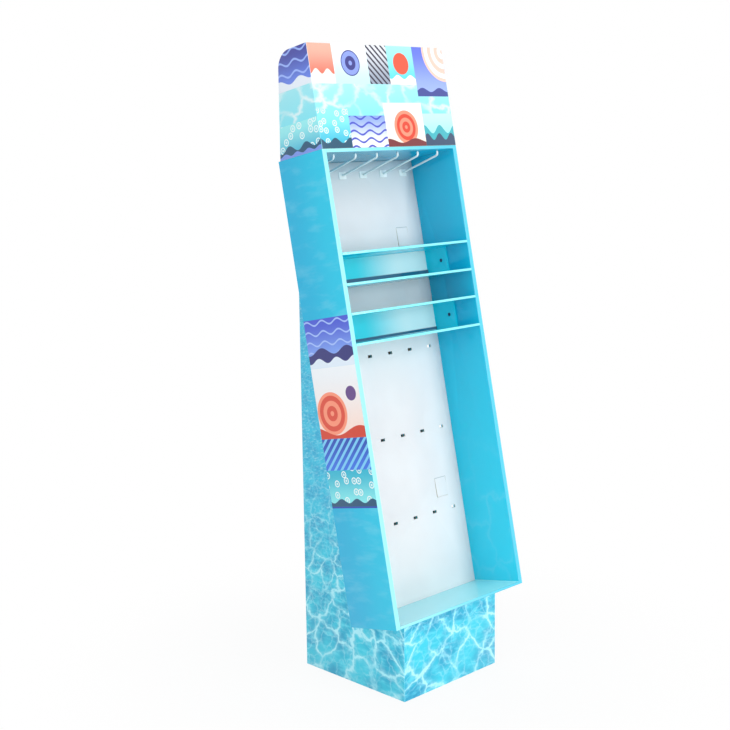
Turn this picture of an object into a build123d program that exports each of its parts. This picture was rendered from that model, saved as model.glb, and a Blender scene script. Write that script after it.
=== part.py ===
from build123d import *
import os
from math import cos, radians, sin, tan

os.makedirs("parts", exist_ok=True)

# Folded card display stand: a wedge-shaped column with a long shallow tray leaning back on it.
# Millimetres, +Z up, front towards -Y. The origin is on the floor, at the centre of the column's footprint.

# Card and fits
card = 3.0  # one sheet of corrugated card
fit = 0.5  # gap between a folded piece and the piece it slides into
fold_radius = 1.2  # outside of a fold in a rolled edge

# Tray
tray_width = 450.0
tray_depth = 153.0
tray_length = 1100.0
tray_tilt = 11.45  # degrees back from upright
tray_height = 202.0  # floor to the tray's front bottom edge
tray_overhang = 36.5  # how far that edge stands out from the column's front
side_hollow = 6.0  # between the two sheets of a rolled side wall
top_hollow = 2.0
tuck_gap = 1.0  # between a rolled wall's inner sheet and the tray's back

# Column
column_width = 328.0
column_top_drop = 102.0  # down the tray's back, from its top to the column's top
column_top_depth = 29.0
glue_lip = 35.0
floor_flange = 50.0
brace_flange = 40.0
brace_heights = {"brace_lower": 130.0, "brace_middle": 470.0, "brace_upper": 810.0}

# Lock tabs of the column, in slots in the tray's back
lock_tab_width = 34.0
lock_tab_spread = 283.0
lock_tab_low = 263.0
lock_tab_drop = 99.0  # from the column's top to the upper tabs

# Cut flaps in the liner, over the lock tabs
flap_width = 40.0
flap_height = 48.0
cut_width = 0.8

# Hook slots
hook_pitch = 70.0
hook_count = 6
slot_width = 14.0
slot_height = 7.0
slot_rows = 3
slot_row_drop = 33.0  # from the lower box down to the top row

# Hooks
hook_wire = 5.0
hook_plate_width = 24.0
hook_plate_height = 18.0
hook_plate = 2.0
hook_reach = 127.0  # liner to the upturned end
hook_rise = 21.0
hook_tip = 8.0
hook_headroom = 1.0  # between the turned-up end and the tray's top wall
hook_bend = 7.0
hook_barb = 6.0
hook_barb_thickness = 3.0
hook_corner = 3.0

# Shelf boxes
box_drop = 235.5  # from the tray's top to the upper box
box_height = 76.0
box_gap = 61.5
shelf_board = 2 * card
box_flap = 72.0  # end flaps, from the liner forwards

# Snap rivets
rivet_head = 9.0
rivet_head_height = 1.4
rivet_shank = 5.0
rivet_play = 0.3
rivet_head_taper = 30
rivet_tail = 1.5  # shank beyond the sheets it holds
box_rivet_depth = 93.0

# Header
header_height = 240.0
header_wing_depth = 146.0  # at the foot of the wings
header_corner = 45.0
header_flap = 40.0
header_rivet_spread = 240.0
header_side_rivet_depth = 100.0
header_brace_level = 90.0
header_brace_height = 50.0
header_brace_depth = 70.0
brace_glue_flap = 30.0

# Worked out from the sizes above
lean = radians(tray_tilt)
side_wall = 2 * card + side_hollow
top_wall = 2 * card + top_hollow
floor_wall = 2 * card  # two sheets, flat together
tray_inner = tray_width - 2 * side_wall
liner_face = tray_depth - 2 * card
back_face = tray_depth - card
column_length = tray_length - column_top_drop
column_depth = column_length * sin(lean) + tray_depth * cos(lean) - tray_overhang + column_top_depth
column_front = -column_depth / 2
column_inner = column_width - 2 * card
tray_front = column_front - tray_overhang
ceiling = tray_length - top_wall
hook_level = ceiling - hook_headroom - hook_wire / 2 - hook_tip - hook_rise
prong_width = slot_width - 2 * fit
prong_height = slot_height - 2 * fit
hook_places = [hook_pitch * (i - (hook_count - 1) / 2) for i in range(hook_count)]
upper_box_level = tray_length - box_drop - box_height
lower_box_level = upper_box_level - box_gap - box_height
box_levels = {"shelf_box_upper": upper_box_level, "shelf_box_lower": lower_box_level}
slot_row_pitch = (lower_box_level - slot_row_drop) / slot_rows
slot_levels = [slot_row_pitch * (i + 1) for i in range(slot_rows)]
open_slots = [(x, level) for level in slot_levels for x in hook_places]
hook_slots = [(x, hook_level) for x in hook_places]
lock_tab_levels = (lock_tab_low, column_length - lock_tab_drop)
lock_tabs = [(side * lock_tab_spread / 2, level) for level in lock_tab_levels for side in (-1, 1)]

# The tray's own planes: x across, depth backwards, level up the slant
tray_corner = (0, tray_front, tray_height)
tray = Plane(origin=tray_corner, x_dir=(1, 0, 0), z_dir=(0, sin(lean), cos(lean)))
tray_side = Plane(origin=tray_corner, x_dir=(0, cos(lean), -sin(lean)), z_dir=(1, 0, 0))
tray_face = Plane(origin=tray_corner, x_dir=(1, 0, 0), z_dir=(0, -cos(lean), sin(lean)))


def across(depth, level):
    """Y and Z of a point in the tray's side view."""
    y = tray_front + depth * cos(lean) + level * sin(lean)
    return y, tray_height - depth * sin(lean) + level * cos(lean)


shoulder_front = across(tray_overhang / cos(lean), 0)
shoulder_back = across(tray_depth, 0)
column_top_front = across(tray_depth, column_length)
column_height = column_top_front[1]


def column_outline():
    """Side view of the column: foot, rear, cap, slope and shoulder."""
    with BuildLine() as outline:
        Polyline(
            (column_front, 0),
            (column_depth / 2, 0),
            (column_depth / 2, column_height),
            column_top_front,
            shoulder_back,
            shoulder_front,
            close=True,
        )
    return outline.line


def write(piece, name):
    piece.label = name
    export_step(piece, f"parts/{name}.step")


# Column sleeve: sides, rear and the short front panel, folded from one wrap
with BuildPart() as column_sleeve:
    with BuildSketch(Plane.YZ):
        add(column_outline())
        make_face()
    extrude(amount=column_width / 2, both=True)
    with BuildSketch(Plane.XY):
        Rectangle(column_inner, column_depth - 2 * card)
    extrude(amount=column_height, mode=Mode.SUBTRACT)
write(column_sleeve.part, "column_sleeve")

# Column slope: front lip, shoulder, sloping panel, cap and rear lip, folded from one sheet
slope_front = across((tray_overhang + card) / cos(lean), 0)
slope_rear = column_depth / 2 - card
front_lip_bottom = slope_front[1] - glue_lip
rear_lip_bottom = column_height - glue_lip
with BuildPart() as column_slope:
    with BuildSketch(Plane.YZ):
        with BuildLine():
            Polyline(
                (column_front + card, 0),
                (slope_rear, 0),
                (slope_rear, column_height),
                column_top_front,
                shoulder_back,
                slope_front,
                close=True,
            )
        make_face()
        offset(amount=-card, kind=Kind.INTERSECTION, mode=Mode.SUBTRACT)
        with BuildLine():
            Polyline(
                (column_front, 0),
                (column_front, front_lip_bottom),
                (shoulder_back[0] + glue_lip, front_lip_bottom),
                (column_top_front[0], rear_lip_bottom),
                (column_depth / 2, rear_lip_bottom),
                (column_depth / 2, 0),
                close=True,
            )
        make_face(mode=Mode.SUBTRACT)
    extrude(amount=column_inner / 2 - fit, both=True)
    with BuildSketch(tray_face.offset(-tray_depth)):
        with Locations(lock_tabs):
            Rectangle(lock_tab_width, card)
    extrude(amount=card)
    with BuildSketch(tray_face.offset(-tray_depth)):
        with Locations(open_slots):
            Rectangle(slot_width, slot_height)
    extrude(amount=-card, mode=Mode.SUBTRACT)
write(column_slope.part, "column_slope")

# Column floor: a pad with upturned flanges
floor_width = column_inner - 2 * fit
floor_depth = column_depth - 2 * card - 2 * fit
with BuildPart() as column_floor:
    with BuildSketch(Plane.XY):
        Rectangle(floor_width, floor_depth)
    extrude(amount=floor_flange)
    with BuildSketch(Plane.XY.offset(card)):
        Rectangle(floor_width - 2 * card, floor_depth - 2 * card)
    extrude(amount=floor_flange - card, mode=Mode.SUBTRACT)
write(column_floor.part, "column_floor")


def column_brace(height):
    """A pad with flanges hanging down, as deep as the column is at that height."""
    front = column_front + card
    if height > shoulder_back[1]:
        level = (height - shoulder_back[1]) / cos(lean)
        front = across(tray_depth, level)[0] + card / cos(lean)
    depth = slope_rear - front - 2 * fit
    middle = (0, (slope_rear + front) / 2)
    with BuildPart() as brace:
        with BuildSketch(Plane.XY.offset(height - brace_flange)):
            with Locations(middle):
                Rectangle(floor_width, depth)
        extrude(amount=brace_flange)
        with BuildSketch(Plane.XY.offset(height - brace_flange)):
            with Locations(middle):
                Rectangle(floor_width - 2 * card, depth - 2 * card)
        extrude(amount=brace_flange - card, mode=Mode.SUBTRACT)
    return brace.part


for name, height in brace_heights.items():
    write(column_brace(height), name)

# Tray shell: a folded tray with rolled walls, hollow between their two sheets
header_rivets_at = [
    (side * header_rivet_spread / 2, card + header_flap / 2) for side in (-1, 1)
] + [(side * (tray_width / 2 - card - header_flap / 2), header_side_rivet_depth) for side in (-1, 1)]
box_rivets_at = [(box_rivet_depth, level + box_height / 2) for level in box_levels.values()]
with BuildPart() as tray_shell:
    with BuildSketch(tray):
        with Locations((0, tray_depth / 2)):
            Rectangle(tray_width, tray_depth)
    extrude(amount=tray_length)
    # the space for goods, and the gap behind the tucked side walls
    with BuildSketch(tray.offset(floor_wall)):
        with Locations((0, back_face / 2)):
            Rectangle(tray_inner, back_face)
        with Locations((0, back_face - tuck_gap / 2)):
            Rectangle(tray_inner + 2 * card, tuck_gap)
    extrude(amount=ceiling - floor_wall, mode=Mode.SUBTRACT)
    # hollows in the side walls
    with BuildSketch(tray.offset(floor_wall)):
        with Locations([(side * (tray_width - side_wall) / 2, tray_depth / 2) for side in (-1, 1)]):
            Rectangle(side_hollow, tray_depth - 2 * card)
    extrude(amount=tray_length - card - floor_wall, mode=Mode.SUBTRACT)
    # hollow in the top wall, and the gap behind its tucked sheet
    with BuildSketch(tray.offset(ceiling + card)):
        with Locations((0, tray_depth / 2)):
            Rectangle(tray_inner + 2 * card, tray_depth - 2 * card)
    extrude(amount=top_hollow, mode=Mode.SUBTRACT)
    with BuildSketch(tray.offset(ceiling)):
        with Locations((0, back_face - tuck_gap / 2)):
            Rectangle(tray_inner, tuck_gap)
    extrude(amount=card, mode=Mode.SUBTRACT)
    front_face = tray_shell.faces().sort_by(Axis(tray_corner, tray_face.z_dir))[-1]
    fillet(front_face.edges(), fold_radius)
    # slots in the back: hooks, and the column's lock tabs
    with BuildSketch(tray_face.offset(-tray_depth)):
        with Locations(open_slots + hook_slots):
            Rectangle(slot_width, slot_height)
        with Locations(lock_tabs):
            Rectangle(lock_tab_width + 2 * fit, card + 2 * fit)
    extrude(amount=card, mode=Mode.SUBTRACT)
    # rivet holes
    for side in (-1, 1):
        with BuildSketch(tray_side.offset(side * tray_inner / 2)):
            with Locations(box_rivets_at):
                Circle(rivet_shank / 2 + rivet_play)
        extrude(amount=side * card, mode=Mode.SUBTRACT)
    with BuildSketch(tray.offset(tray_length - card)):
        with Locations(header_rivets_at):
            Circle(rivet_shank / 2 + rivet_play)
    extrude(amount=card, mode=Mode.SUBTRACT)
write(tray_shell.part, "tray_shell")

# Back panel: the white liner, with hook slots and cut flaps
with BuildPart() as back_panel:
    with BuildSketch(tray_face.offset(-back_face)):
        with Locations((0, (ceiling + floor_wall) / 2)):
            Rectangle(tray_inner - 2 * fit, ceiling - floor_wall - 2 * fit)
        with Locations(open_slots + hook_slots):
            Rectangle(slot_width, slot_height, mode=Mode.SUBTRACT)
    extrude(amount=card)
    # each flap is cut on three sides and hangs from its top edge
    with BuildSketch(tray_face.offset(-back_face)):
        with Locations(lock_tabs):
            Rectangle(flap_width, flap_height)
        with Locations([(x, level + cut_width) for x, level in lock_tabs]):
            Rectangle(flap_width - 2 * cut_width, flap_height, mode=Mode.SUBTRACT)
    extrude(amount=card, mode=Mode.SUBTRACT)
write(back_panel.part, "back_panel")


def shelf_box(level):
    """An open-front box across the tray: two double boards, a back web and two end flaps."""
    web_face = liner_face - card
    half_width = tray_inner / 2 - fit
    with BuildPart() as box:
        with BuildSketch(tray_side):
            with Locations((liner_face / 2, level + box_height / 2)):
                Rectangle(liner_face, box_height)
            with Locations((web_face / 2, level + box_height / 2)):
                Rectangle(web_face, box_height - 2 * shelf_board, mode=Mode.SUBTRACT)
        extrude(amount=half_width, both=True)
        lips = box.faces().filter_by(tray_face).group_by(Axis(tray_corner, tray_face.z_dir))[-1]
        fillet(lips.edges().filter_by(Axis.X), fold_radius)
        for side in (-1, 1):
            with BuildSketch(tray_side.offset(side * half_width)):
                with Locations((web_face - box_flap / 2, level + box_height / 2)):
                    Rectangle(box_flap, box_height - 2 * shelf_board)
                with Locations((box_rivet_depth, level + box_height / 2)):
                    Circle(rivet_shank / 2 + rivet_play, mode=Mode.SUBTRACT)
            extrude(amount=-side * card)
    return box.part


for name, level in box_levels.items():
    write(shelf_box(level), name)

# Shelf rivets: snap rivets through the boxes' end flaps and the tray's inner sheets
flap_face = tray_inner / 2 - fit - card
with BuildPart() as shelf_rivets:
    for side in (-1, 1):
        with BuildSketch(tray_side.offset(side * flap_face)):
            with Locations(box_rivets_at):
                Circle(rivet_shank / 2)
        extrude(amount=side * (2 * card + fit + rivet_tail))
        with BuildSketch(tray_side.offset(side * flap_face)):
            with Locations(box_rivets_at):
                Circle(rivet_head / 2)
        extrude(amount=-side * rivet_head_height, taper=rivet_head_taper)
write(shelf_rivets.part, "shelf_rivets")

# Header: front, two wings with rounded rear corners, and glue flaps, folded from one sheet
wing_top_depth = header_wing_depth - header_height * tan(lean)  # its rear edge is upright
header_inner = tray_width - 2 * card
wing_flap_start = card + header_flap + 2 * fit
wing_flap_length = header_wing_depth - wing_flap_start
with BuildPart() as header_wrap:
    with BuildSketch(tray_side):
        with BuildLine():
            Polyline(
                (0, tray_length),
                (header_wing_depth, tray_length),
                (wing_top_depth, tray_length + header_height),
                (0, tray_length + header_height),
                close=True,
            )
        make_face()
        rear_corner = vertices().sort_by(Axis.Y)[-2:].sort_by(Axis.X)[-1]
        fillet(rear_corner, header_corner)
    extrude(amount=tray_width / 2, both=True)
    with BuildSketch(tray.offset(tray_length)):
        with Locations((0, card + tray_depth / 2)):
            Rectangle(header_inner, tray_depth)
    extrude(amount=header_height, mode=Mode.SUBTRACT)
    with BuildSketch(tray.offset(tray_length)):
        with Locations((0, card + header_flap / 2)):
            Rectangle(header_inner - 2 * fit, header_flap)
        for side in (-1, 1):
            with Locations((side * (header_inner - header_flap) / 2, wing_flap_start + wing_flap_length / 2)):
                Rectangle(header_flap, wing_flap_length)
        with Locations(header_rivets_at):
            Circle(rivet_shank / 2 + rivet_play, mode=Mode.SUBTRACT)
    extrude(amount=card)
write(header_wrap.part, "header_wrap")

# Header brace: a strip between the wings with a glue flap at each end
with BuildPart() as header_brace:
    with BuildSketch(tray.offset(tray_length + header_brace_level)):
        with Locations((0, header_brace_depth - brace_glue_flap / 2)):
            Rectangle(header_inner, brace_glue_flap)
        with Locations((0, header_brace_depth - card - brace_glue_flap / 2)):
            Rectangle(header_inner - 2 * card, brace_glue_flap, mode=Mode.SUBTRACT)
    extrude(amount=header_brace_height)
write(header_brace.part, "header_brace")

# Header rivets: snap rivets through the header's flaps and the tray's top
with BuildPart() as header_rivets:
    with BuildSketch(tray.offset(tray_length + card)):
        with Locations(header_rivets_at):
            Circle(rivet_shank / 2)
    extrude(amount=-(2 * card + rivet_tail))
    with BuildSketch(tray.offset(tray_length + card)):
        with Locations(header_rivets_at):
            Circle(rivet_head / 2)
    extrude(amount=rivet_head_height, taper=rivet_head_taper)
write(header_rivets.part, "header_rivets")


def peg_hook(x):
    """A plastic hook: plate on the liner, prong and barb through the slot, rising wire with a turned-up end."""
    with BuildPart() as hook:
        with BuildSketch(tray_face.offset(-liner_face)):
            with Locations((x, hook_level)):
                RectangleRounded(hook_plate_width, hook_plate_height, hook_corner)
        extrude(amount=hook_plate)
        with BuildSketch(tray_face.offset(-liner_face)):
            with Locations((x, hook_level)):
                Rectangle(prong_width, prong_height)
        extrude(amount=-(2 * card + hook_barb_thickness))
        with BuildSketch(tray_face.offset(-tray_depth)):
            with Locations((x, hook_level + hook_barb / 2)):
                Rectangle(prong_width, prong_height + hook_barb)
        extrude(amount=-hook_barb_thickness)
        with BuildLine(tray_side.offset(x)) as wire:
            FilletPolyline(
                (liner_face - hook_plate / 2, hook_level),
                (liner_face - hook_reach, hook_level + hook_rise),
                (liner_face - hook_reach, hook_level + hook_rise + hook_tip),
                radius=hook_bend,
            )
        with BuildSketch(Plane(origin=wire.line @ 0, z_dir=wire.line % 0)):
            Circle(hook_wire / 2)
        sweep(path=wire.line)
        with Locations(wire.line @ 1):
            Sphere(hook_wire / 2)
    return hook.part


for number, x in enumerate(hook_places, 1):
    write(peg_hook(x), f"hook_{number}")
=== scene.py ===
import math

import bmesh
import bpy
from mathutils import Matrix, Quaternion, Vector


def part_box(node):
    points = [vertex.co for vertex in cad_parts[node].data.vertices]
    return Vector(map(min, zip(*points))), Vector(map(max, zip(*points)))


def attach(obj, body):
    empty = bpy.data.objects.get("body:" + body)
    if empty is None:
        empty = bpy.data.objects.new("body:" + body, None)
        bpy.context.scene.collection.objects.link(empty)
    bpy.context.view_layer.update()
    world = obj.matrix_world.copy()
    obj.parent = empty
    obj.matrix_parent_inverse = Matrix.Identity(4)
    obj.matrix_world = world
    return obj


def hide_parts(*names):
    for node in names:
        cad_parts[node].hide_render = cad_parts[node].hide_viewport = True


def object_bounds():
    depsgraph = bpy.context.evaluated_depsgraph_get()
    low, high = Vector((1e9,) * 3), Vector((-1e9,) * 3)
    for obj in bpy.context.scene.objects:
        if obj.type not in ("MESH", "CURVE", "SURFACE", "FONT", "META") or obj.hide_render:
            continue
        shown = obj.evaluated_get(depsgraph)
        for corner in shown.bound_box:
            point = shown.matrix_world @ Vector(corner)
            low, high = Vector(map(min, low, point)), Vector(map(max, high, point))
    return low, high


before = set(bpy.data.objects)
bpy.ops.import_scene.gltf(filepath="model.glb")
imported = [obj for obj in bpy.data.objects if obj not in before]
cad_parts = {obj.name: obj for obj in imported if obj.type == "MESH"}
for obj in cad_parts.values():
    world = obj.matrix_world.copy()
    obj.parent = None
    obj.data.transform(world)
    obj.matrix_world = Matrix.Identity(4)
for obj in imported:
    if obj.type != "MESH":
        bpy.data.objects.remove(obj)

cad_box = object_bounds()
scene = bpy.context.scene


# Studio: a camera at chest height to the left of the stand, a pale floor and soft boxes round it.
# The background is white to the camera and to gloss, and only the floor keeps a faint shadow.
camera_place = Vector((-2.3147, -2.2412, 1.3283))
camera_azimuth, camera_elevation, camera_roll = map(math.radians, (-44.51, 9.99, -0.80))
camera_data = bpy.data.cameras.new("camera")
camera_data.sensor_width = 36.0
camera_data.lens = 66.81
camera = bpy.data.objects.new("camera", camera_data)
scene.collection.objects.link(camera)
looking = Vector((
    -math.sin(camera_azimuth) * math.cos(camera_elevation),
    math.cos(camera_azimuth) * math.cos(camera_elevation),
    -math.sin(camera_elevation),
))
camera.location = camera_place
camera.rotation_mode = "QUATERNION"
camera.rotation_quaternion = looking.to_track_quat("-Z", "Y") @ Quaternion((0, 0, 1), camera_roll)
scene.camera = camera
scene.view_settings.view_transform = "Standard"


def linear(hex_colour):
    """A printed colour such as #3CB9E4 as linear red, green, blue and alpha."""
    channels = [int(hex_colour[i:i + 2], 16) / 255 for i in (1, 3, 5)]
    return tuple(c / 12.92 if c <= 0.04045 else ((c + 0.055) / 1.055) ** 2.4 for c in channels) + (1.0,)


class Number:
    """A node's output that takes part in sums, so that 1 - mask adds its own Math node."""

    def __init__(self, finish, socket):
        self.finish = finish
        self.socket = socket

    def __add__(self, other):
        return self.finish.maths("ADD", self, other)

    def __radd__(self, other):
        return self.finish.maths("ADD", other, self)

    def __sub__(self, other):
        return self.finish.maths("SUBTRACT", self, other)

    def __rsub__(self, other):
        return self.finish.maths("SUBTRACT", other, self)

    def __mul__(self, other):
        return self.finish.maths("MULTIPLY", self, other)

    def __rmul__(self, other):
        return self.finish.maths("MULTIPLY", other, self)

    def __truediv__(self, other):
        return self.finish.maths("DIVIDE", self, other)


class Finish:
    """A new material of that name, or a node tree that is handed in, with short ways to add nodes."""

    def __init__(self, name=None, tree=None):
        if tree is None:
            self.material = bpy.data.materials.new(name)
            self.material.use_nodes = True
            tree = self.material.node_tree
        self.tree = tree
        self.tree.nodes.clear()

    def node(self, kind, settings=None, sockets=None, output=0):
        """Adds a node: its type, its settings, its sockets' values or links, and the output to use."""
        made = self.tree.nodes.new(kind)
        for name, value in (settings or {}).items():
            setattr(made, name, value)
        for name, value in (sockets or {}).items():
            if isinstance(value, Number):
                self.tree.links.new(value.socket, made.inputs[name])
            else:
                made.inputs[name].default_value = value
        return Number(self, made.outputs[output]) if made.outputs else made

    def maths(self, operation, *values):
        return self.node("ShaderNodeMath", {"operation": operation}, dict(enumerate(values)))

    def place(self):
        """Place on the object, in metres."""
        return self.node("ShaderNodeTexCoord", output="Object")

    def axes(self):
        """The place as three numbers."""
        place = self.place()
        return [self.node("ShaderNodeSeparateXYZ", None, {0: place}, i) for i in range(3)]

    def point(self, x, y, z=0.0):
        return self.node("ShaderNodeCombineXYZ", None, {0: x, 1: y, 2: z})

    def ease(self, value, low, high, to_low=0.0, to_high=1.0):
        """Smooth step of a number from to_low to to_high as it goes from low to high."""
        sockets = {0: value, 1: low, 2: high, 3: to_low, 4: to_high}
        return self.node("ShaderNodeMapRange", {"interpolation_type": "SMOOTHSTEP"}, sockets)

    def noise(self, place, scale, detail=2.0):
        return self.node("ShaderNodeTexNoise", None, {"Vector": place, "Scale": scale, "Detail": detail})

    def mix(self, share, first, second):
        """A colour between two others: at 1 it is all the second."""
        sockets = {0: share, 6: first, 7: second}
        return self.node("ShaderNodeMix", {"data_type": "RGBA"}, sockets, 2)

    def surface(self, sockets, height=None, depth=0.0001):
        """The Principled shader. height is a relief, and each 1 of it stands depth metres high."""
        if height is not None:
            bump = {"Height": height, "Distance": depth, "Strength": 1.0}
            sockets = {**sockets, "Normal": self.node("ShaderNodeBump", None, bump)}
        shader = self.node("ShaderNodeBsdfPrincipled", None, sockets)
        self.node("ShaderNodeOutputMaterial", None, {"Surface": shader})
        return self.material


room_size = 14.0
floor_finish = Finish("studio_floor")
white_rays = ("Is Camera Ray", "Is Glossy Ray")  # these see the background as white
rays = [floor_finish.node("ShaderNodeLightPath", output=ray) for ray in white_rays]
seen = floor_finish.maths("MAXIMUM", *rays)
lit_floor = floor_finish.node("ShaderNodeBsdfDiffuse", None, {"Color": (0.86, 0.86, 0.86, 1)})
white_floor = floor_finish.node("ShaderNodeEmission", None, {"Color": (1, 1, 1, 1), "Strength": 1.0})
floor_x, floor_y = floor_finish.axes()[:2]
away = floor_finish.maths("SQRT", floor_x * floor_x + floor_y * floor_y)
whiteness = floor_finish.ease(away, 0.3, 1.0, 0.91, 1.0)
layers = {0: seen * whiteness, 1: lit_floor, 2: white_floor}
blended = floor_finish.node("ShaderNodeMixShader", None, layers)
floor_finish.node("ShaderNodeOutputMaterial", None, {"Surface": blended})
floor_mesh = bpy.data.meshes.new("studio_floor")
half = room_size / 2
corners = [(-half, -half, 0), (half, -half, 0), (half, half, 0), (-half, half, 0)]
floor_mesh.from_pydata(corners, [], [(0, 1, 2, 3)])
floor_mesh.materials.append(floor_finish.material)
studio_floor = bpy.data.objects.new("studio_floor", floor_mesh)
scene.collection.objects.link(studio_floor)

world = bpy.data.worlds.new("studio")
world.use_nodes = True
scene.world = world
sky = Finish(tree=world.node_tree)
rays = [sky.node("ShaderNodeLightPath", output=ray) for ray in white_rays]
fill_light = 0.55
strength = sky.ease(sky.maths("MAXIMUM", *rays), 0.0, 1.0, fill_light, 1.0)
backdrop = sky.node("ShaderNodeBackground", None, {"Color": (1, 1, 1, 1), "Strength": strength})
sky.node("ShaderNodeOutputWorld", None, {"Surface": backdrop})

# Each soft box: name, place, side in metres, power in watts
soft_boxes = (
    ("key_light", (0.3, -3.5, 1.8), 2.4, 80.0),
    ("side_light", (-3.4, -0.9, 1.7), 2.2, 34.0),
    ("top_light", (0.2, 0.4, 3.9), 2.6, 16.0),
    ("back_light", (1.2, 3.4, 2.2), 2.4, 30.0),
)
aim = (cad_box[0] + cad_box[1]) / 2
for name, place, size, power in soft_boxes:
    lamp_data = bpy.data.lights.new(name, "AREA")
    lamp_data.shape = "SQUARE"
    lamp_data.size = size
    lamp_data.energy = power
    lamp = bpy.data.objects.new(name, lamp_data)
    lamp.location = place
    lamp.rotation_mode = "QUATERNION"
    lamp.rotation_quaternion = (aim - Vector(place)).to_track_quat("-Z", "Y")
    scene.collection.objects.link(lamp)


# Column sleeve: one wrap of corrugated card, folded round four upright creases and glued at a rear corner.
# It is printed all over with rippling pool water, small and calm at the top and wide at the foot.
card = 0.003
fold = 0.0022
cut_round = 0.0003
cut_face = 1.15 * card  # a face narrower than this is a cut edge
flute_pitch = 0.0065
crease_angle = math.radians(35)
gloss = {"Coat Weight": 0.8, "Coat Roughness": 0.07, "Roughness": 0.45, "Specular IOR Level": 0.12}


def folded(name, node, fold_radius=fold, cut_radius=cut_round, before=None, inner=None, sheet=None):
    """A copy of a card node with round folds.
    Cut edges of the card get the second material, and inner sides the third.
    sheet is the way a flat sheet faces, so that its narrow faces aren't taken for cut edges."""
    work = bmesh.new()
    work.from_mesh(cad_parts[node].data)
    bmesh.ops.remove_doubles(work, verts=work.verts, dist=1e-6)
    bmesh.ops.dissolve_limit(work, angle_limit=math.radians(0.5), verts=work.verts, edges=work.edges)
    if before:
        before(work)
    for face in work.faces:
        round_it = sum(edge.calc_length() for edge in face.edges)
        breadth = 2 * face.calc_area() / round_it
        on_sheet = sheet is not None and abs(face.normal.dot(sheet)) > 0.5
        face.material_index = 1 if breadth < cut_face and not on_sheet else 0
        if inner and not face.material_index and inner(face.calc_center_median()):
            face.material_index = 2
    weight = work.edges.layers.float.new("bevel_weight_edge")
    for edge in work.edges:
        if len(edge.link_faces) == 2 and edge.calc_face_angle() > math.radians(30):
            on_cut = any(face.material_index == 1 for face in edge.link_faces)
            edge[weight] = (cut_radius if on_cut else fold_radius) / fold
    mesh = bpy.data.meshes.new(name)
    work.to_mesh(mesh)
    work.free()
    piece = bpy.data.objects.new(name, mesh)
    scene.collection.objects.link(piece)
    bevel = piece.modifiers.new("folds", "BEVEL")
    bevel.limit_method = "WEIGHT"
    bevel.width = fold
    bevel.segments = 3
    return settled(piece)


def settled(piece):
    """Applies a piece's modifiers, and shades it smooth up to its creases."""
    evaluated = piece.evaluated_get(bpy.context.evaluated_depsgraph_get())
    mesh = bpy.data.meshes.new_from_object(evaluated)
    piece.modifiers.clear()
    piece.data = mesh
    mesh.polygons.foreach_set("use_smooth", [True] * len(mesh.polygons))
    mesh.set_sharp_from_angle(angle=crease_angle)
    return piece


def finished(piece, slot, *materials, replaces=()):
    """Gives a piece its materials and its place in the frame."""
    for material in materials:
        piece.data.materials.append(material)
    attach(piece, "root")
    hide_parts(*replaces)
    return piece


def card_relief(finish, along, place):
    """Faint ribs of the flutes under the print, with the paper's own unevenness."""
    ribs = finish.maths("SINE", along * (2 * math.pi / flute_pitch)) * 0.10
    return ribs + finish.noise(place, 900.0) * 0.12 + finish.noise(place, 9.0) * 1.1


def veins(finish, x, y, width, warp=0.35):
    """Bright curved lines between cells one unit across, as light makes on a pool's floor."""
    flat = finish.point(x, y)
    drift = [finish.noise(finish.point(x + shift, y - shift), 1.3, 4.0) - 0.5 for shift in (0.0, 17.3)]
    bent = finish.point(x + drift[0] * (2 * warp), y + drift[1] * (2 * warp))
    settings = {"feature": "DISTANCE_TO_EDGE", "voronoi_dimensions": "2D"}
    edge = finish.node("ShaderNodeTexVoronoi", settings, {"Vector": bent, "Scale": 1.0})
    line = 1 - finish.ease(edge, 0.0, width)
    glow = 1 - finish.ease(edge, 0.0, 0.30)
    fade = finish.ease(finish.noise(flat, 0.8), 0.30, 0.62)
    return (line * 0.7 + glow * glow * 0.32) * (0.22 + fade * 0.85)


def pool_water(finish, x, z, shift=0.0, foot_cell=0.090, shrink=3.3):
    """The pool print's colour. Its cells are foot_cell wide at the floor and shrink with height."""
    grow = (1 + z * shrink) / foot_cell
    across = x * grow + shift
    up = (z + z * z * (shrink / 2)) / foot_cell
    large = veins(finish, across, up, 0.085, 0.5)
    small = veins(finish, across * 2.3 + 5.0, up * 2.3 + 3.0, 0.11, 0.7)
    wavelets = finish.noise(finish.point(across * 0.9, up * 2.2), 2.6, 4.0)
    cloud = finish.noise(finish.point(across * 0.6 + 9.0, up * 0.75), 1.3, 3.0)
    deep = finish.mix(finish.ease(cloud, 0.34, 0.64), linear("#12A2CA"), linear("#2ECEE6"))
    tone = finish.mix(finish.ease(wavelets, 0.44, 0.74) * 0.75, deep, linear("#64E0F4"))
    calm = finish.ease(z, 0.12, 0.60)
    tone = finish.mix(calm * 0.5, tone, linear("#40BCE6"))
    slanted = finish.point(across * 0.8, up * 1.7 + across * 0.5)
    streaks = finish.ease(finish.noise(slanted, 3.4, 5.0), 0.50, 0.72)
    light = large * (1 - calm * 0.85) + small * (0.34 - calm * 0.26) + streaks * calm * 0.42
    return finish.mix(finish.maths("MINIMUM", light, 1.0), tone, linear("#B4F4FF"))


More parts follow.
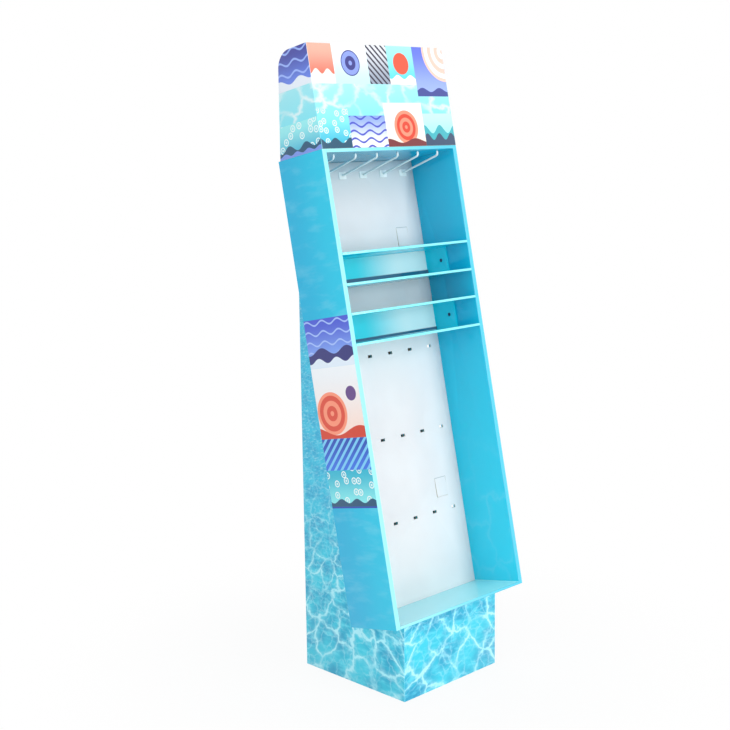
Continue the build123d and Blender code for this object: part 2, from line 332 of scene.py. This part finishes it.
pool_print = Finish("pool_print")
x, y, z = pool_print.axes()
normal = pool_print.node("ShaderNodeNewGeometry", output="Normal")
facing = pool_print.node("ShaderNodeSeparateXYZ", None, {0: normal}, "X")
on_side = pool_print.ease(pool_print.maths("ABSOLUTE", facing), 0.4, 0.6)
upright = pool_print.node("ShaderNodeSeparateXYZ", None, {0: normal}, "Z")
on_top = pool_print.ease(pool_print.maths("ABSOLUTE", upright), 0.7, 0.9)
run = x * (1 - on_side) + y * on_side
water = pool_water(pool_print, run, z - y * on_top, on_side * 31.0)
glue_lap = 0.035
sleeve_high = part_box("column_sleeve")[1]
rear_y = sleeve_high.y
lap_edge = sleeve_high.x - glue_lap
on_rear = pool_print.ease(y, rear_y - 0.0008, rear_y - 0.0004)
lap = pool_print.ease(x, lap_edge - 0.0008, lap_edge + 0.0008) * on_rear
lap_line = (1 - pool_print.ease(pool_print.maths("ABSOLUTE", x - lap_edge), 0.0003, 0.0008)) * on_rear
water = pool_print.mix(lap_line * 0.55, water, linear("#0C7CA4"))
relief = card_relief(pool_print, run, pool_print.place()) + lap * 6.0
pool_card = pool_print.surface({**gloss, "Base Color": water}, relief, 0.00008)

cut_edge = Finish("cut_edge")
place = cut_edge.place()
fibres = cut_edge.ease(cut_edge.noise(place, 1400.0, 3.0), 0.3, 0.7)
edge_colour = cut_edge.mix(fibres, linear("#B9AA92"), linear("#DCD2C0"))
raw_card = cut_edge.surface({"Base Color": edge_colour, "Roughness": 0.9}, fibres, 0.0001)

finished(folded("sleeve", "column_sleeve"), "card_print", pool_card, raw_card, replaces=["column_sleeve"])


# Column slope: the sheet between the sleeve's sides, folded into shoulder, slope, cap and two glue lips.
# It carries the tray on its shoulder and its four lock tabs. It has the same print as the sleeve.
finished(folded("slope", "column_slope"), "card_print", pool_card, raw_card, replaces=["column_slope"])


# Floor pad and braces: unprinted kraft card, hidden inside the column.
# Each has a flange on every side, is folded into a shallow tray and is glued inside the column.
kraft = Finish("kraft")
place = kraft.place()
x = kraft.axes()[0]
mottle = kraft.noise(place, 60.0, 4.0)
kraft_colour = kraft.mix(kraft.ease(mottle, 0.3, 0.7), linear("#B4946A"), linear("#C9AC84"))
kraft_look = {"Base Color": kraft_colour, "Roughness": 0.85}
kraft_card = kraft.surface(kraft_look, card_relief(kraft, x, place), 0.0001)
for node in ("column_floor", "brace_lower", "brace_middle", "brace_upper"):
    pad = folded(node.replace("column_", "") + "_pad", node)
    finished(pad, "card_plain", kraft_card, raw_card, replaces=[node])


# Tray: one sheet folded up into four rolled walls, each turned over at the front and tucked in behind.
# It is printed pool blue with a strip of bright fields down each side. Painted shade deepens the blue
# towards the top, a painted highlight lightens the front edges, and the floor's upper face is painted pale
# for the light and reflection on it.
lean = math.radians(11.45)
tray_depth = 0.153
tray_width = 0.450
tray_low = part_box("tray_shell")[0]
corner_y = tray_low.y
corner_z = tray_low.z + tray_depth * math.sin(lean)
side_wall = 0.012
floor_top, ceiling = 0.006, 1.092  # inner faces of the rolled walls, up the slant


def tray_axes(finish):
    """Across, up the slant and back into the tray, in metres from the middle of its front bottom edge."""
    x, y, z = finish.axes()
    y, z = y - corner_y, z - corner_z
    up = y * math.sin(lean) + z * math.cos(lean)
    back = y * math.cos(lean) - z * math.sin(lean)
    return x, up, back


def inside(finish, value, low, high, edge=0.0004):
    """1 between low and high, with a print's slightly soft edge."""
    rise = finish.ease(value, low - edge, low + edge)
    return rise * (1 - finish.ease(value, high - edge, high + edge))


def disc(finish, x, y, centre, radius, edge=0.0004):
    """1 within a circle, and how far each place is from the circle's middle."""
    across, up = x - centre[0], y - centre[1]
    far = finish.maths("SQRT", across * across + up * up)
    return 1 - finish.ease(far, radius - edge, radius + edge), far


def stripes(finish, value, pitch, share):
    """Repeating bands: 1 over that share of each pitch."""
    step = finish.maths("FRACT", value / pitch)
    return inside(finish, step, 0.5 - share / 2, 0.5 + share / 2, 0.03)


def waves(finish, x, y, pitch=0.020, share=0.30, height=0.005, length=0.052):
    """Rows of wavy lines."""
    swell = finish.maths("SINE", x * (2 * math.pi / length)) * height
    return stripes(finish, y + swell + 1.0, pitch, share)


def bubbles(finish, x, y, size=0.030):
    """Scattered rings of different sizes."""
    place = finish.point(x / size, y / size)
    sockets = {"Vector": place, "Scale": 1.0, "Randomness": 0.75}
    far = finish.node("ShaderNodeTexVoronoi", {"voronoi_dimensions": "2D"}, sockets)
    return inside(finish, far, 0.19, 0.27, 0.02) + (1 - finish.ease(far, 0.09, 0.12)) * 0.7


def hills(finish, x, y, level, height, length, shift=0.0):
    """Everything below a rolling line."""
    line = finish.maths("SINE", x * (2 * math.pi / length) + shift) * height + level
    return 1 - finish.ease(y - line, -0.0005, 0.0005)


def field(finish, colour, x, y, box, low_tone, high_tone, *shapes):
    """One field of a patchwork: a ground that changes tone from foot to top, and shapes with their inks."""
    left, right, foot, top = box
    tile = finish.mix(finish.ease(y, foot, top), linear(low_tone), linear(high_tone))
    for shape, ink in shapes:
        tile = finish.mix(finish.maths("MINIMUM", shape, 1.0), tile, linear(ink))
    return finish.mix(inside(finish, x, left, right) * inside(finish, y, foot, top), colour, tile)


def side_fields(finish, colour, back, up):
    """Four fields with plain shapes down the tray's side, over the blue."""
    middle = tray_depth / 2
    span = (-0.001, tray_depth + 0.001)
    sun, ray = disc(finish, back, up, (middle + 0.026, 0.505), 0.050)
    rings = sun * stripes(finish, ray, 0.024, 0.5)
    low_sun = disc(finish, back, up, (middle - 0.046, 0.548), 0.017)[0]
    swell = hills(finish, back, up, 0.650, 0.008, 0.085)
    trough = hills(finish, back, up, 0.628, 0.006, 0.060, 1.6)
    dune = hills(finish, back, up, 0.464, 0.010, 0.150, 0.8)
    fields = (
        ((*span, 0.612, 0.725), "#8CB4FF", "#4A5CD8", (waves(finish, back, up, 0.024, 0.16), "#A8C4FF"),
         (swell, "#34367C"), (trough, "#E4F2FF")),
        ((*span, 0.446, 0.612), "#FFE4D8", "#F4FAFF", (sun, "#FF9A7C"), (rings, "#E2503C"),
         (low_sun, "#6A4A8C"), (dune, "#D8452E")),
        ((*span, 0.372, 0.446), "#3C78E8", "#2450B8", (stripes(finish, back + up, 0.022, 0.42), "#7CD0FC")),
        ((*span, 0.287, 0.372), "#8CF0F4", "#2CBCD8", (bubbles(finish, back, up), "#F4FFFF"),
         (hills(finish, back, up, 0.300, 0.005, 0.052), "#1C5478")),
    )
    for box, low_tone, high_tone, *shapes in fields:
        colour = field(finish, colour, back, up, box, low_tone, high_tone, *shapes)
    line = inside(finish, up, 0.2830, 0.2870)
    return finish.mix(line, colour, linear("#2040B0"))


tray_print = Finish("tray_print")
x, up, back = tray_axes(tray_print)
wide = tray_print.maths("ABSOLUTE", x)
# Painted shade: the tray's blue deepens towards the top, as under the ceiling.
top_shade_share = tray_print.ease(up, 0.0, 1.05)
blue = tray_print.mix(top_shade_share, linear("#1CD4F0"), linear("#00BCE0"))
ripple = veins(tray_print, (back + x) * 11.0, up * 8.0, 0.10, 0.6)
ripple_share = ripple * (1 - tray_print.ease(up, 0.10, 0.45)) * 0.14
blue = tray_print.mix(ripple_share, blue, linear("#9CECFC"))
outer = tray_print.ease(wide, tray_width / 2 - 0.0012, tray_width / 2 - 0.0006)
outer_blue = tray_print.mix(tray_print.ease(back, 0.0, 0.15), linear("#14CAEC"), linear("#00B6E2"))
swirl = tray_print.noise(tray_print.point(back * 9.0, up * 24.0), 1.4, 6.0)
outer_blue = tray_print.mix(tray_print.ease(swirl, 0.45, 0.75) * 0.22, outer_blue, linear("#9CE8FA"))
blue = tray_print.mix(outer, blue, side_fields(tray_print, outer_blue, back, up))
# Painted highlight: the front edges are painted pale cyan, lightest at the left, as lit by the lamps.
front = 1 - tray_print.ease(back, 0.0008, 0.0022)
rim_highlight_blue = tray_print.mix(tray_print.ease(x, -0.22, 0.22), linear("#9CF0FA"), linear("#54CCE8"))
blue = tray_print.mix(front, blue, rim_highlight_blue)
seam_at = tray_width / 2 - side_wall
on_rim_ends = 1 - inside(tray_print, up, floor_top, ceiling)
seam = inside(tray_print, wide, seam_at - 0.0002, seam_at + 0.0002, 0.0001) * on_rim_ends * front
blue = tray_print.mix(seam * 0.7, blue, linear("#1A86B4"))
# Painted light and reflection: the floor's upper face is painted pale, for the light and the liner's
# reflection on it.
floor_face = (1 - tray_print.ease(up, 0.0066, 0.0072)) * (1 - outer)
blue = tray_print.mix(floor_face * (1 - front), blue, linear("#A4F8FF"))
relief = card_relief(tray_print, x + back, tray_print.place())
high_gloss = {**gloss, "Coat Weight": 0.9, "Coat Roughness": 0.03, "Specular IOR Level": 0.03}
tray_card = tray_print.surface({**high_gloss, "Base Color": blue}, relief, 0.00004)
tray = folded("tray", "tray_shell", 0.0008)
finished(tray, "card_print", tray_card, tray_card, replaces=["tray_shell"])


# Back panel: a white liner sheet that drops in between the rolled walls, die-cut with the hook slots.
# Two pairs of flaps are cut on three sides, over the lock tabs.
liner = Finish("white_liner")
place = liner.place()
x, up, back = tray_axes(liner)
paper = liner.mix(liner.ease(liner.noise(place, 7.0), 0.3, 0.7), linear("#E6E2E3"), linear("#ECE9EA"))
# Painted shade: the liner greys towards its top, under the ceiling.
paper = liner.mix(liner.ease(up, 0.95, 1.08), paper, linear("#C8D1D4"))
flap_high = 0.048
flap_half_width = 0.0194
flap_spread = 0.283
flap_levels = (0.263, 0.899)
liner_face = 0.147
outline_low, outline_high, outline_side = 0.008, 1.090, 0.2122  # beyond these is the sheet's own outline
outline_growth = 0.0004
along_up = Vector((0, math.sin(lean), math.cos(lean)))
along_back = Vector((0, math.cos(lean), -math.sin(lean)))


def spring_flaps(work):
    """Bends the flaps forward from their top edges, and grows the sheet's outline into its gaps."""
    corner = Vector((0, corner_y, corner_z))
    for level in flap_levels:
        hinge = corner + along_up * (level + flap_high / 2)
        parts = work.verts[:] + work.edges[:] + work.faces[:]
        bmesh.ops.bisect_plane(work, geom=parts, plane_co=hinge, plane_no=along_up, dist=1e-6)
    for vertex in work.verts:
        place = vertex.co - corner
        up, back = place.dot(along_up), place.dot(along_back)
        for level in flap_levels:
            below = level + flap_high / 2 - up
            beside = abs(abs(vertex.co.x) - flap_spread / 2)
            if 1e-5 < below < flap_high - 0.0005 and beside < flap_half_width:
                turn = math.radians(2.0 if vertex.co.x > 0 else 1.2)
                inner = back - liner_face
                vertex.co += along_up * (below * (1 - math.cos(turn)) + inner * math.sin(turn))
                vertex.co -= along_back * (below * math.sin(turn) + inner * (1 - math.cos(turn)))
        if up < outline_low:
            vertex.co -= along_up * outline_growth
        if up > outline_high:
            vertex.co += along_up * outline_growth
        if abs(vertex.co.x) > outline_side:
            vertex.co.x += math.copysign(outline_growth, vertex.co.x)


white_gloss = {**gloss, "Coat Weight": 0.5, "Coat Roughness": 0.2}
beside = liner.maths("ABSOLUTE", liner.maths("ABSOLUTE", x) - flap_spread / 2)
# Painted shade: a grey line along each flap's hinge, where the fold lies in shade.
hinge_shade = 0.0
for level in flap_levels:
    hinge = level + flap_high / 2
    hinge_shade = hinge_shade + inside(liner, up, hinge - 0.0006, hinge + 0.0006, 0.0003)
hinge_shade = hinge_shade * (1 - liner.ease(beside, flap_half_width, flap_half_width + 0.0003))
paper = liner.mix(hinge_shade * 0.8, paper, linear("#8C989C"))
white_card = liner.surface({**white_gloss, "Base Color": paper}, card_relief(liner, x, place), 0.00006)
panel = folded("back_liner", "back_panel", 0.0004, 0.0004, before=spring_flaps, sheet=along_back)
finished(panel, "card_white", white_card, raw_card, replaces=["back_panel"])


# Shelf boxes: open-front boxes of printed card across the tray, with double boards, a web at the back
# and an end flap riveted to each wall. Each web fades from strong cyan at the left to pale at the right.
box_print = Finish("box_print")
x, up, back = tray_axes(box_print)
fade = box_print.ease(x, -0.05, 0.12)
web = box_print.mix(fade, linear("#04E6F0"), linear("#ECFFFC"))
on_web = box_print.ease(back, 0.1405, 0.1425)
on_flap = box_print.ease(box_print.maths("ABSOLUTE", x), 0.2085, 0.2092)
cyan = box_print.mix(on_web * (1 - on_flap), linear("#00E2F6"), web)
web_folds = ((0.657, 0.0070), (0.7945, 0.0150))  # foot and height of the shade in each web's fold
for foot, shade_high in web_folds:
    fold_shade = inside(box_print, up, foot, foot + shade_high, 0.0010)
    cyan = box_print.mix(fold_shade * on_web, cyan, linear("#0A6484"))
# Painted highlight: the boards' front lips are painted pale cyan.
lip_highlight = 1 - box_print.ease(back, 0.0010, 0.0026)
cyan = box_print.mix(lip_highlight, cyan, linear("#8AF6FF"))
relief = card_relief(box_print, x, box_print.place())
box_card = box_print.surface({**gloss, "Base Color": cyan}, relief, 0.00008)
for place_name in ("upper", "lower"):
    node = f"shelf_box_{place_name}"
    finished(folded(f"{place_name}_box", node, 0.0006), "card_print", box_card, box_card, replaces=[node])


# Header: front and two wings folded from one sheet, printed with a patchwork of plain shapes.
# Its flaps are riveted to the tray's top, and a strip glued between the wings keeps it square.
tray_length = 1.100
header_height = 0.240
wing_inner = 0.2226  # just outside the wings' inner sides
header_print = Finish("header_print")
x, up, back = tray_axes(header_print)
y = up - tray_length
on_wing = header_print.ease(header_print.maths("ABSOLUTE", x), 0.2238, 0.2244)
run = x * (1 - on_wing) + (back * -1 - 0.226) * on_wing
soft = veins(header_print, run * 14.0, y * 19.0, 0.16, 0.6)
sky_blue = header_print.mix(header_print.ease(y, 0.0, 0.24), linear("#74E4F4"), linear("#B4F2FA"))
colour = header_print.mix(soft * 0.7, sky_blue, linear("#F0FEFF"))


def header_disc(centre, radius, pitch=0.022):
    """A disc on the header, and its rings."""
    whole, far = disc(header_print, run, y, centre, radius)
    return whole, whole * stripes(header_print, far, pitch, 0.5)


def header_hills(ink, *sizes):
    """Rolling hills on the header, with their ink."""
    return hills(header_print, run, y, *sizes), ink


sun, sun_rings = header_disc((0.058, 0.046), 0.040, 0.018)
moon, moon_rings = header_disc((-0.096, 0.196), 0.030)
dusk, dusk_rings = header_disc((0.225, 0.230), 0.074, 0.024)
ball = header_disc((0.072, 0.198), 0.026)[0]
# Each field: left, right, foot and top, its tones at foot and top, and its shapes
fields = (
    ((-0.225, -0.128, 0.000, 0.090), "#2CB4D4", "#8CF0F4",
     (bubbles(header_print, run, y, 0.026), "#F0FFFF"),
     header_hills("#20506C", 0.018, 0.006, 0.048)),
    ((-0.128, -0.010, 0.000, 0.074), "#F8FCFF", "#8CA8FC",
     (waves(header_print, run, y, 0.018, 0.26), "#4A54C4")),
    ((-0.010, 0.120, 0.000, 0.104), "#FFF0E4", "#FFFFFF", (sun, "#FF9478"), (sun_rings, "#E0432C"),
     header_hills("#7A2E34", 0.014, 0.005, 0.090, 2.0)),
    ((0.120, 0.225, 0.000, 0.078), "#8CF0EC", "#C4FAFA",
     header_hills("#3CB4C0", 0.040, 0.010, 0.054),
     header_hills("#344C6C", 0.022, 0.008, 0.042, 1.2)),
    ((-0.225, -0.150, 0.148, 0.240), "#FC6450", "#FFB4A0",
     header_hills("#FFF4EC", 0.176, 0.006, 0.036)),
    ((-0.150, -0.040, 0.148, 0.240), "#C8F4FC", "#F8FCFF", (moon, "#8CA0F0"), (moon_rings, "#3A3C88")),
    ((-0.040, 0.028, 0.148, 0.240), "#98A4B8", "#E4E8F0",
     (stripes(header_print, run + y + 1.0, 0.017, 0.40), "#302C40")),
    ((0.028, 0.116, 0.148, 0.240), "#58DCE8", "#A8F4F8", (ball, "#F8583C"),
     header_hills("#FFFFFF", 0.166, 0.005, 0.044)),
    ((0.116, 0.225, 0.120, 0.240), "#A0B8FF", "#6478E8", (dusk, "#FFD0C0"), (dusk_rings, "#FFFFFF"),
     header_hills("#3C4898", 0.136, 0.005, 0.060)),
    ((-0.380, -0.226, 0.150, 0.240), "#6C8CF0", "#4448A4",
     (waves(header_print, run, y, 0.026, 0.18), "#9CB8FF"),
     header_hills("#EAF4FF", 0.168, 0.006, 0.070)),
    ((-0.380, -0.226, 0.000, 0.074), "#48B8D8", "#9CF0F4",
     (bubbles(header_print, run, y, 0.030), "#F0FFFF"),
     header_hills("#285878", 0.020, 0.007, 0.058),
     header_hills("#7C98E8", 0.008, 0.003, 0.04)),
)
for box, low_tone, high_tone, *shapes in fields:
    colour = field(header_print, colour, run, y, box, low_tone, high_tone, *shapes)
relief = card_relief(header_print, run, header_print.place())
header_card = header_print.surface({**gloss, "Base Color": colour}, relief, 0.00008)


def is_inner(centre):
    """True on the unprinted side of the header's sheet."""
    back = (centre - Vector((0, corner_y, corner_z))).dot(along_back)
    return abs(centre.x) < wing_inner and back > card - 0.0004


def corrugated(piece, path, liner_paper=0.00045, depth=0.0018, paper=0.00022):
    """Opens the cut edge on top of a card piece, and sets a fluted core in it along the path."""
    work = bmesh.new()
    work.from_mesh(piece.data)
    top = [face for face in work.faces if face.material_index == 1 and face.normal.dot(along_up) > 0.98]
    edge = max(top, key=lambda face: face.calc_area())
    bmesh.ops.inset_region(
        work, faces=[edge], thickness=liner_paper - cut_round, depth=-depth, use_even_offset=True
    )
    swing = card / 2 - liner_paper - paper / 2
    half = paper / 2
    ring = ((-half, -depth), (half, -depth), (half, 0.0), (-half, 0.0))
    steps = 8
    rows = []
    run = 0.0
    for start, end in zip(path, path[1:]):
        stretch = end - start
        count = max(1, round(stretch.length / flute_pitch * steps))
        side = along_up.cross(stretch.normalized())
        for step in range(count + 1):
            travel = stretch.length * step / count
            off = math.sin((run + travel) / flute_pitch * 2 * math.pi) * swing
            spot = start + stretch * (step / count)
            rows.append([
                work.verts.new(spot + side * (off + width) + along_up * rise) for width, rise in ring
            ])
        run += stretch.length
    for first, second in zip(rows, rows[1:]):
        for i in range(4):
            j = (i + 1) % 4
            work.faces.new((first[i], first[j], second[j], second[i])).material_index = 2
    bmesh.ops.recalc_face_normals(work, faces=work.faces)
    work.to_mesh(piece.data)
    work.free()
    piece.data.set_sharp_from_angle(angle=crease_angle)


header = folded("header", "header_wrap", inner=is_inner)
header_top = Vector((0, corner_y, corner_z)) + along_up * (tray_length + header_height - cut_round)
core_side = Vector((tray_width / 2 - card / 2, 0, 0))
core_front = along_back * (card / 2)
core_rear = along_back * 0.058  # just short of the wings' rounded corners
corrugated(header, [
    header_top + core_rear - core_side,
    header_top + core_front - core_side,
    header_top + core_front + core_side,
    header_top + core_rear + core_side,
])
finished(header, "card_print", header_card, raw_card, kraft_card, replaces=["header_wrap"])
strip = folded("header_strip", "header_brace")
finished(strip, "card_plain", kraft_card, raw_card, replaces=["header_brace"])


# Hooks: six peg hooks of milky white moulded plastic, each with a plate that lies on the liner.
# Each is pushed through its slot by hand, and the barbed prong behind the plate holds it there.
hook_finish = Finish("hook_plastic")
place = hook_finish.place()
cloudy = hook_finish.ease(hook_finish.noise(place, 40.0), 0.3, 0.7)
milky = hook_finish.mix(cloudy, linear("#DCE8E8"), linear("#EEF6F6"))
hook_gloss = {"Base Color": milky, "Roughness": 0.24, "Coat Weight": 0.4, "Coat Roughness": 0.1}
hook_plastic = hook_finish.surface(hook_gloss, hook_finish.noise(place, 120.0), 0.00005)
for number in range(1, 7):
    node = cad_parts[f"hook_{number}"]
    node.data.materials.clear()
    node.data.materials.append(hook_plastic)


# Snap rivets: dark plastic with a low domed head and a dimple, pressed through the card by hand.
# Four hold the shelf boxes' end flaps to the walls, and four hold the header's flaps to the tray's top.
rivet_finish = Finish("rivet_plastic")
place = rivet_finish.place()
moulded = rivet_finish.ease(rivet_finish.noise(place, 900.0), 0.3, 0.7)
dark_blue = rivet_finish.mix(moulded, linear("#12304C"), linear("#1C4464"))
rivet_look = {"Base Color": dark_blue, "Roughness": 0.38}
rivet_plastic = rivet_finish.surface(rivet_look, moulded, 0.00003)


def rivet_tree():
    """Geometry nodes: a head and shank on every point, turned by the point's own attribute."""
    group = bpy.data.node_groups.new("snap_rivets", "GeometryNodeTree")
    face = group.interface
    face.new_socket("Geometry", in_out="INPUT", socket_type="NodeSocketGeometry")
    sockets = {}
    for label in ("Head radius", "Head height", "Shank radius", "Shank length", "Dimple radius"):
        sockets[label] = face.new_socket(label, in_out="INPUT", socket_type="NodeSocketFloat").identifier
    face.new_socket("Geometry", in_out="OUTPUT", socket_type="NodeSocketGeometry")
    build = Finish(tree=group)
    node = build.node
    points, head, height, shank, length, dimple = (node("NodeGroupInput", output=i) for i in range(6))
    ball = node("GeometryNodeMeshUVSphere", None, {"Segments": 32, "Rings": 24, "Radius": head})
    squash = build.point(1.0, 1.0, height / head)
    flat = node("GeometryNodeTransform", None, {"Geometry": ball, "Scale": squash})
    spot = node("GeometryNodeInputPosition")
    level = node("ShaderNodeSeparateXYZ", None, {0: spot}, 2)
    less = {"data_type": "FLOAT", "operation": "LESS_THAN"}
    under = node("FunctionNodeCompare", less, {0: level, 1: -0.00001})
    dome = node("GeometryNodeDeleteGeometry", {"domain": "POINT"}, {"Geometry": flat, "Selection": under})
    plan = node("ShaderNodeVectorMath", {"operation": "MULTIPLY"}, {0: spot, 1: (1, 1, 0)})
    far = node("ShaderNodeVectorMath", {"operation": "LENGTH"}, {0: plan}, 1)
    sink = build.ease(far, 0.0, dimple, 1.0, 0.0) * height * -0.45
    sunk = build.point(0.0, 0.0, sink)
    dimpled = node("GeometryNodeSetPosition", None, {"Geometry": dome, "Offset": sunk})
    rod = node("GeometryNodeMeshCylinder", None, {"Vertices": 24, "Radius": shank, "Depth": length})
    drop = build.point(0.0, 0.0, length * -0.5)
    lowered = node("GeometryNodeTransform", None, {"Geometry": rod, "Translation": drop})
    joined = node("GeometryNodeJoinGeometry")
    join = joined.socket.node
    for piece in (lowered, dimpled):
        group.links.new(piece.socket, join.inputs[0])
    turn = node("GeometryNodeInputNamedAttribute", {"data_type": "FLOAT_VECTOR"}, {"Name": "turn"})
    sockets_of_each = {"Points": points, "Instance": joined, "Rotation": turn}
    placed = node("GeometryNodeInstanceOnPoints", None, sockets_of_each)
    real = node("GeometryNodeRealizeInstances", None, {"Geometry": placed})
    covered = node("GeometryNodeSetMaterial", None, {"Geometry": real, "Material": rivet_plastic})
    node("NodeGroupOutput", None, {"Geometry": covered})
    return group, sockets


def rivets(name, replaces, places, length):
    """Rivets at places, each a point with the turn of its head."""
    mesh = bpy.data.meshes.new(name)
    mesh.from_pydata([place for place, turn in places], [], [])
    turns = mesh.attributes.new("turn", "FLOAT_VECTOR", "POINT")
    turns.data.foreach_set("vector", [value for place, turn in places for value in turn])
    piece = bpy.data.objects.new(name, mesh)
    scene.collection.objects.link(piece)
    layout = piece.modifiers.new("rivets", "NODES")
    layout.node_group, sockets = snap_rivets
    sizes = {"Head radius": 0.0045, "Head height": 0.0014, "Shank radius": 0.0025,
             "Shank length": length, "Dimple radius": 0.0016}
    for label, value in sizes.items():
        layout[sockets[label]] = value
    return finished(settled(piece), "rivet_plastic", replaces=[replaces])


snap_rivets = rivet_tree()
corner = Vector((0, corner_y, corner_z))
box_rivet_levels = (0.689, 0.8265)
box_rivet_depth = 0.093
flap_face = 0.2095  # inner face of the shelf boxes' end flaps
header_rivet_places = ((0.120, 0.023), (0.202, 0.100))  # across and back
box_places = []
for side in (-1, 1):
    for level in box_rivet_levels:
        spot = corner + along_up * level + along_back * box_rivet_depth + Vector((side * flap_face, 0, 0))
        box_places.append((spot, (0.0, -side * math.pi / 2, 0.0)))
rivets("box_rivets", "shelf_rivets", box_places, length=0.008)
header_places = []
for across, depth in header_rivet_places:
    for side in (-1, 1):
        spot = corner + along_up * (tray_length + card) + along_back * depth + Vector((side * across, 0, 0))
        header_places.append((spot, (-lean, 0.0, 0.0)))
rivets("top_rivets", "header_rivets", header_places, length=0.0075)
